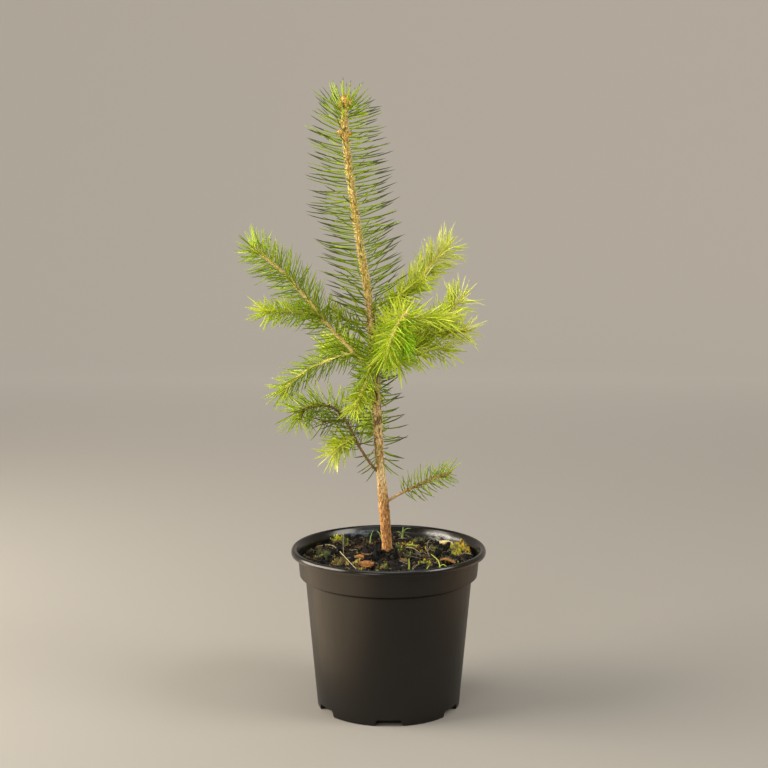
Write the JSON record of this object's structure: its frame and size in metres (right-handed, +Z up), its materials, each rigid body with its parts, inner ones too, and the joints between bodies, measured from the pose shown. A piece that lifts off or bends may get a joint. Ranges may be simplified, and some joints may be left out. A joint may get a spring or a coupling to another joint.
{
  "type": "potted young norway spruce",
  "caption": "Young Norway spruce with a slim leader and one whorl of needled boughs, standing in a round nursery pot of compost.",
  "frame": {"origin": "middle of the flat pad under the pot, on the surface it stands on", "axes": "+Z up along the pot's axis; +X to the right and +Y away from the side that the picture shows"},
  "size_m": [0.1532, 0.1269, 0.3847],
  "materials": {
    "pot_plastic": "matt moulded",
    "compost": "rough and moist",
    "bark_chip": "rough",
    "moss": "soft and tufted",
    "bark": "flaky bark",
    "older_needles": "waxy",
    "young_needles": "waxy"
  },
  "bodies": {
    "root": {"pot": "pot_plastic", "compost": "compost", "bark_chip_1": "bark_chip", "bark_chip_2": "bark_chip", "bark_chip_3": "bark_chip", "bark_chip_4": "bark_chip", "moss_clump_1": "moss", "moss_clump_2": "moss", "trunk": "bark", "bough_upper_left": "bark", "bough_upper_right": "bark", "bough_right": "bark", "bough_front_right": "bark", "bough_front_low": "bark", "bough_front_hanging": "bark", "bough_small_left": "bark", "bough_low_left": "bark", "bough_low_right": "bark", "bough_back_left": "bark", "bough_back_right": "bark", "bough_back_hanging": "bark", "bough_low_back": "bark", "needles_leader": "older_needles", "needles_trunk": "older_needles", "needles_upper_left": "older_needles", "needles_low_left": "older_needles", "needles_upper_right": "young_needles", "needles_right": "young_needles", "needles_front_right": "young_needles", "needles_front_low": "young_needles", "needles_front_hanging": "young_needles", "needles_small_left": "young_needles", "needles_low_right": "older_needles", "needles_back_left": "older_needles", "needles_back_right": "older_needles", "needles_back_hanging": "older_needles", "needles_low_back": "older_needles"}
  },
  "joints": []
}
